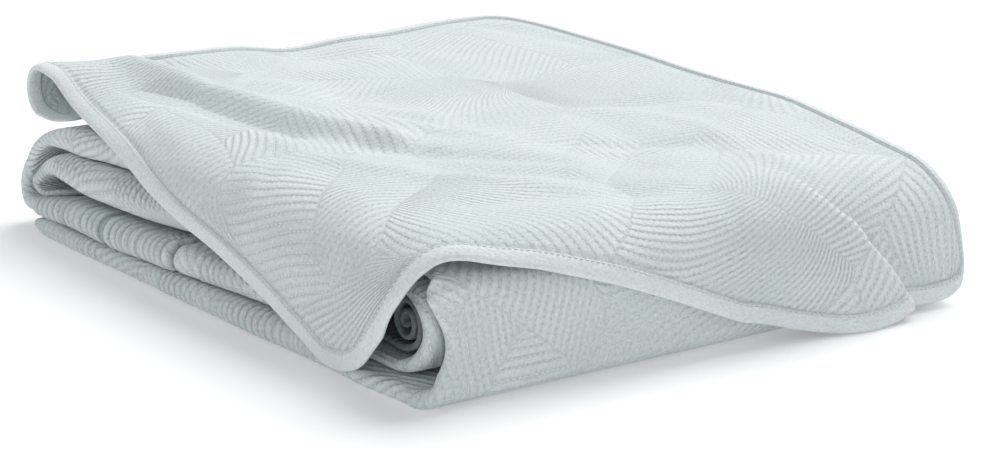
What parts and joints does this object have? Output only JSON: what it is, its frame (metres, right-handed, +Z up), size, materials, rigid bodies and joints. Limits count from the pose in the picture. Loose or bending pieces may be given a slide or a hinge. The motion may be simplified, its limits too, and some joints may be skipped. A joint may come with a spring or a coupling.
{
  "type": "folded quilted bedspread",
  "caption": "Quilted bedspread folded and rolled into a low stack, with its last layer laid over the top and a plain binding along its edge.",
  "frame": {"origin": "middle of the base of the folded bedspread, on the surface it lies on", "axes": "+Z up; +Y along the longer left side of the stack, away from its near corner; +X along its front side, away from the same corner"},
  "size_m": [0.505, 0.642, 0.1295],
  "materials": {
    "quilted_cloth": "matt woven cloth, quilted, pale grey-green",
    "edge_binding": "matt plain woven tape, pale grey-green"
  },
  "bodies": {
    "root": {"quilted_cloth": "quilted_cloth", "edge_binding": "edge_binding"}
  },
  "joints": []
}
